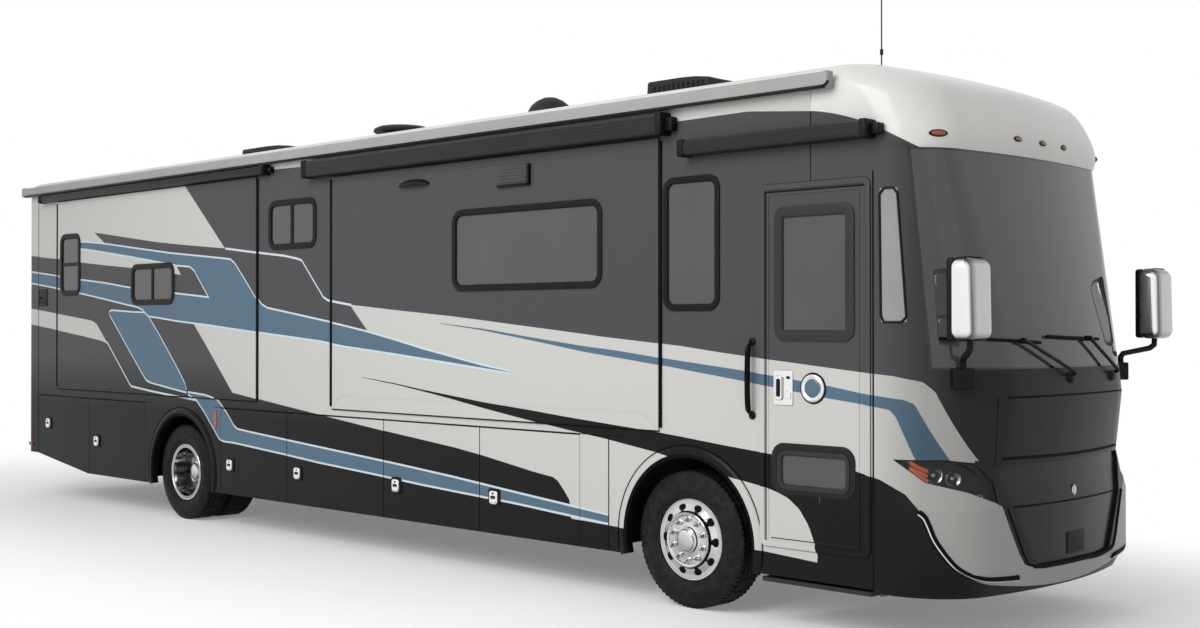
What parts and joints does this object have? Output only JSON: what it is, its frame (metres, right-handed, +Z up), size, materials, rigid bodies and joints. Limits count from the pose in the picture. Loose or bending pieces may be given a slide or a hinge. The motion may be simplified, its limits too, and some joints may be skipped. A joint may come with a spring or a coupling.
{
  "type": "motorhome",
  "caption": "Long diesel-pusher motorhome with slide-out rooms, swinging baggage doors, entry door and step, engine door, steered front wheels and twin rear wheels.",
  "frame": {"origin": "on the ground at the middle of the plan", "axes": "+X forward, +Y to the driver's side, +Z up; the entry door is on the -Y side"},
  "size_m": [13.5, 2.93, 4.4999],
  "materials": {
    "coach_paint": "glossy, charcoal with light grey and blue stripes",
    "light_paint": "glossy light grey",
    "dark_paint": "satin charcoal",
    "roof_skin": "satin off-white",
    "tinted_glass": "dark tinted",
    "tyre_rubber": "matt",
    "rim_chrome": "polished",
    "chrome": "polished",
    "black_plastic": "satin",
    "unit_plastic": "matt black",
    "lamp_lens": "clear",
    "tail_lens": "glossy red",
    "frame_steel": "satin black",
    "engine_metal": "rough",
    "fuel_tank_metal": "satin",
    "axle_iron": "rough",
    "floor_board": "satin",
    "bay_liner": "matt",
    "step_metal": "ribbed",
    "seat_leather": "soft"
  },
  "bodies": {
    "coach": {"chassis_frame": "frame_steel", "engine_block": "engine_metal", "fuel_tank": "fuel_tank_metal", "front_axle": "axle_iron", "rear_axle": "axle_iron", "floor_deck": "floor_board", "baggage_bays": "bay_liner", "right_wall": "coach_paint", "left_wall": "coach_paint", "roof_panel": "roof_skin", "roof_cap": "light_paint", "rear_cap": "coach_paint", "front_mask": "coach_paint", "hood_panel": "coach_paint", "grille_panel": "dark_paint", "front_bumper": "coach_paint", "headlights": "lamp_lens", "tail_lights": "tail_lens", "windshield": "tinted_glass", "side_glass": "tinted_glass", "awning_cassettes": "black_plastic", "roof_awning": "light_paint", "roof_equipment": "unit_plastic", "antenna": "black_plastic", "mirrors": "chrome", "wipers": "black_plastic", "grab_handle": "black_plastic", "dashboard": "black_plastic", "front_seats": "seat_leather"},
    "left_knuckle": {"left_knuckle": "axle_iron"},
    "left_front_wheel": {"left_front_tyre": "tyre_rubber", "left_front_rim": "rim_chrome"},
    "left_rear_wheel": {"left_rear_tyres": "tyre_rubber", "left_rear_rims": "rim_chrome"},
    "right_knuckle": {"right_knuckle": "axle_iron"},
    "right_front_wheel": {"right_front_tyre": "tyre_rubber", "right_front_rim": "rim_chrome"},
    "right_rear_wheel": {"right_rear_tyres": "tyre_rubber", "right_rear_rims": "rim_chrome"},
    "entry_door": {"entry_door": "coach_paint", "entry_door_glass": "tinted_glass"},
    "entry_step": {"entry_step": "step_metal"},
    "engine_door": {"engine_door": "coach_paint"},
    "right_baggage_door_1": {"right_baggage_door_1": "coach_paint"},
    "right_baggage_door_2": {"right_baggage_door_2": "coach_paint"},
    "right_baggage_door_3": {"right_baggage_door_3": "coach_paint"},
    "right_baggage_door_4": {"right_baggage_door_4": "coach_paint"},
    "right_baggage_door_5": {"right_baggage_door_5": "coach_paint"},
    "right_baggage_door_6": {"right_baggage_door_6": "coach_paint"},
    "left_baggage_door_1": {"left_baggage_door_1": "coach_paint"},
    "left_baggage_door_2": {"left_baggage_door_2": "coach_paint"},
    "left_baggage_door_3": {"left_baggage_door_3": "coach_paint"},
    "bedroom_slide": {"bedroom_slide": "coach_paint", "bedroom_slide_glass": "tinted_glass"},
    "right_living_slide": {"right_living_slide": "coach_paint", "right_living_slide_glass": "tinted_glass"},
    "left_living_slide": {"left_living_slide": "coach_paint", "left_living_slide_glass": "tinted_glass"}
  },
  "joints": [
    {"name": "left_steering", "type": "hinge", "parent": "coach", "child": "left_knuckle", "pos_m": [4.25, 0.905, 0.51], "axis": [0, 0, 1], "range_deg": [-35, 35]},
    {"name": "left_front_spin", "type": "hinge", "parent": "left_knuckle", "child": "left_front_wheel", "pos_m": [4.25, 1.098, 0.51], "axis": [0, 1, 0], "continuous": true},
    {"name": "left_rear_spin", "type": "hinge", "parent": "coach", "child": "left_rear_wheel", "pos_m": [-2.987, 0.928, 0.51], "axis": [0, 1, 0], "continuous": true},
    {"name": "right_steering", "type": "hinge", "parent": "coach", "child": "right_knuckle", "pos_m": [4.25, -0.905, 0.51], "axis": [0, 0, 1], "range_deg": [-35, 35]},
    {"name": "right_front_spin", "type": "hinge", "parent": "right_knuckle", "child": "right_front_wheel", "pos_m": [4.25, -1.098, 0.51], "axis": [0, 1, 0], "continuous": true},
    {"name": "right_rear_spin", "type": "hinge", "parent": "coach", "child": "right_rear_wheel", "pos_m": [-2.987, -0.928, 0.51], "axis": [0, 1, 0], "continuous": true},
    {"name": "entry_door_hinge", "type": "hinge", "parent": "coach", "child": "entry_door", "pos_m": [5.83, -1.275, 1.8], "axis": [0, 0, 1], "range_deg": [0, 90]},
    {"name": "entry_step_slide", "type": "slide", "parent": "coach", "child": "entry_step", "axis": [0, -1, 0], "range_m": [0, 0.3]},
    {"name": "engine_door_hinge", "type": "hinge", "parent": "coach", "child": "engine_door", "pos_m": [-6.74, 0, 1.48], "axis": [0, 1, 0], "range_deg": [0, 80]},
    {"name": "right_baggage_door_1_hinge", "type": "hinge", "parent": "coach", "child": "right_baggage_door_1", "pos_m": [-5.09, -1.275, 0.8], "axis": [0, 0, 1], "range_deg": [0, 90]},
    {"name": "right_baggage_door_2_hinge", "type": "hinge", "parent": "coach", "child": "right_baggage_door_2", "pos_m": [-3.765, -1.275, 0.8], "axis": [0, 0, 1], "range_deg": [0, 90]},
    {"name": "right_baggage_door_3_hinge", "type": "hinge", "parent": "coach", "child": "right_baggage_door_3", "pos_m": [-0.96486, -1.275, 0.8], "axis": [0, 0, 1], "range_deg": [0, 90]},
    {"name": "right_baggage_door_4_hinge", "type": "hinge", "parent": "coach", "child": "right_baggage_door_4", "pos_m": [0.59383, -1.275, 0.8], "axis": [0, 0, 1], "range_deg": [0, 90]},
    {"name": "right_baggage_door_5_hinge", "type": "hinge", "parent": "coach", "child": "right_baggage_door_5", "pos_m": [1.92717, -1.275, 0.8], "axis": [0, 0, 1], "range_deg": [0, 90]},
    {"name": "right_baggage_door_6_hinge", "type": "hinge", "parent": "coach", "child": "right_baggage_door_6", "pos_m": [3.138, -1.275, 0.8], "axis": [0, 0, 1], "range_deg": [0, 90]},
    {"name": "left_baggage_door_1_hinge", "type": "hinge", "parent": "coach", "child": "left_baggage_door_1", "pos_m": [-0.96486, 1.275, 0.8], "axis": [0, 0, -1], "range_deg": [0, 90]},
    {"name": "left_baggage_door_2_hinge", "type": "hinge", "parent": "coach", "child": "left_baggage_door_2", "pos_m": [0.59383, 1.275, 0.8], "axis": [0, 0, -1], "range_deg": [0, 90]},
    {"name": "left_baggage_door_3_hinge", "type": "hinge", "parent": "coach", "child": "left_baggage_door_3", "pos_m": [1.92717, 1.275, 0.8], "axis": [0, 0, -1], "range_deg": [0, 90]},
    {"name": "bedroom_slide_travel", "type": "slide", "parent": "coach", "child": "bedroom_slide", "axis": [0, -1, 0], "range_m": [0, 0.7]},
    {"name": "right_living_slide_travel", "type": "slide", "parent": "coach", "child": "right_living_slide", "axis": [0, -1, 0], "range_m": [0, 0.7]},
    {"name": "left_living_slide_travel", "type": "slide", "parent": "coach", "child": "left_living_slide", "axis": [0, 1, 0], "range_m": [0, 0.7]}
  ],
  "couplings": [
    {"joint": "right_steering", "follows": "left_steering", "ratio": 1}
  ]
}
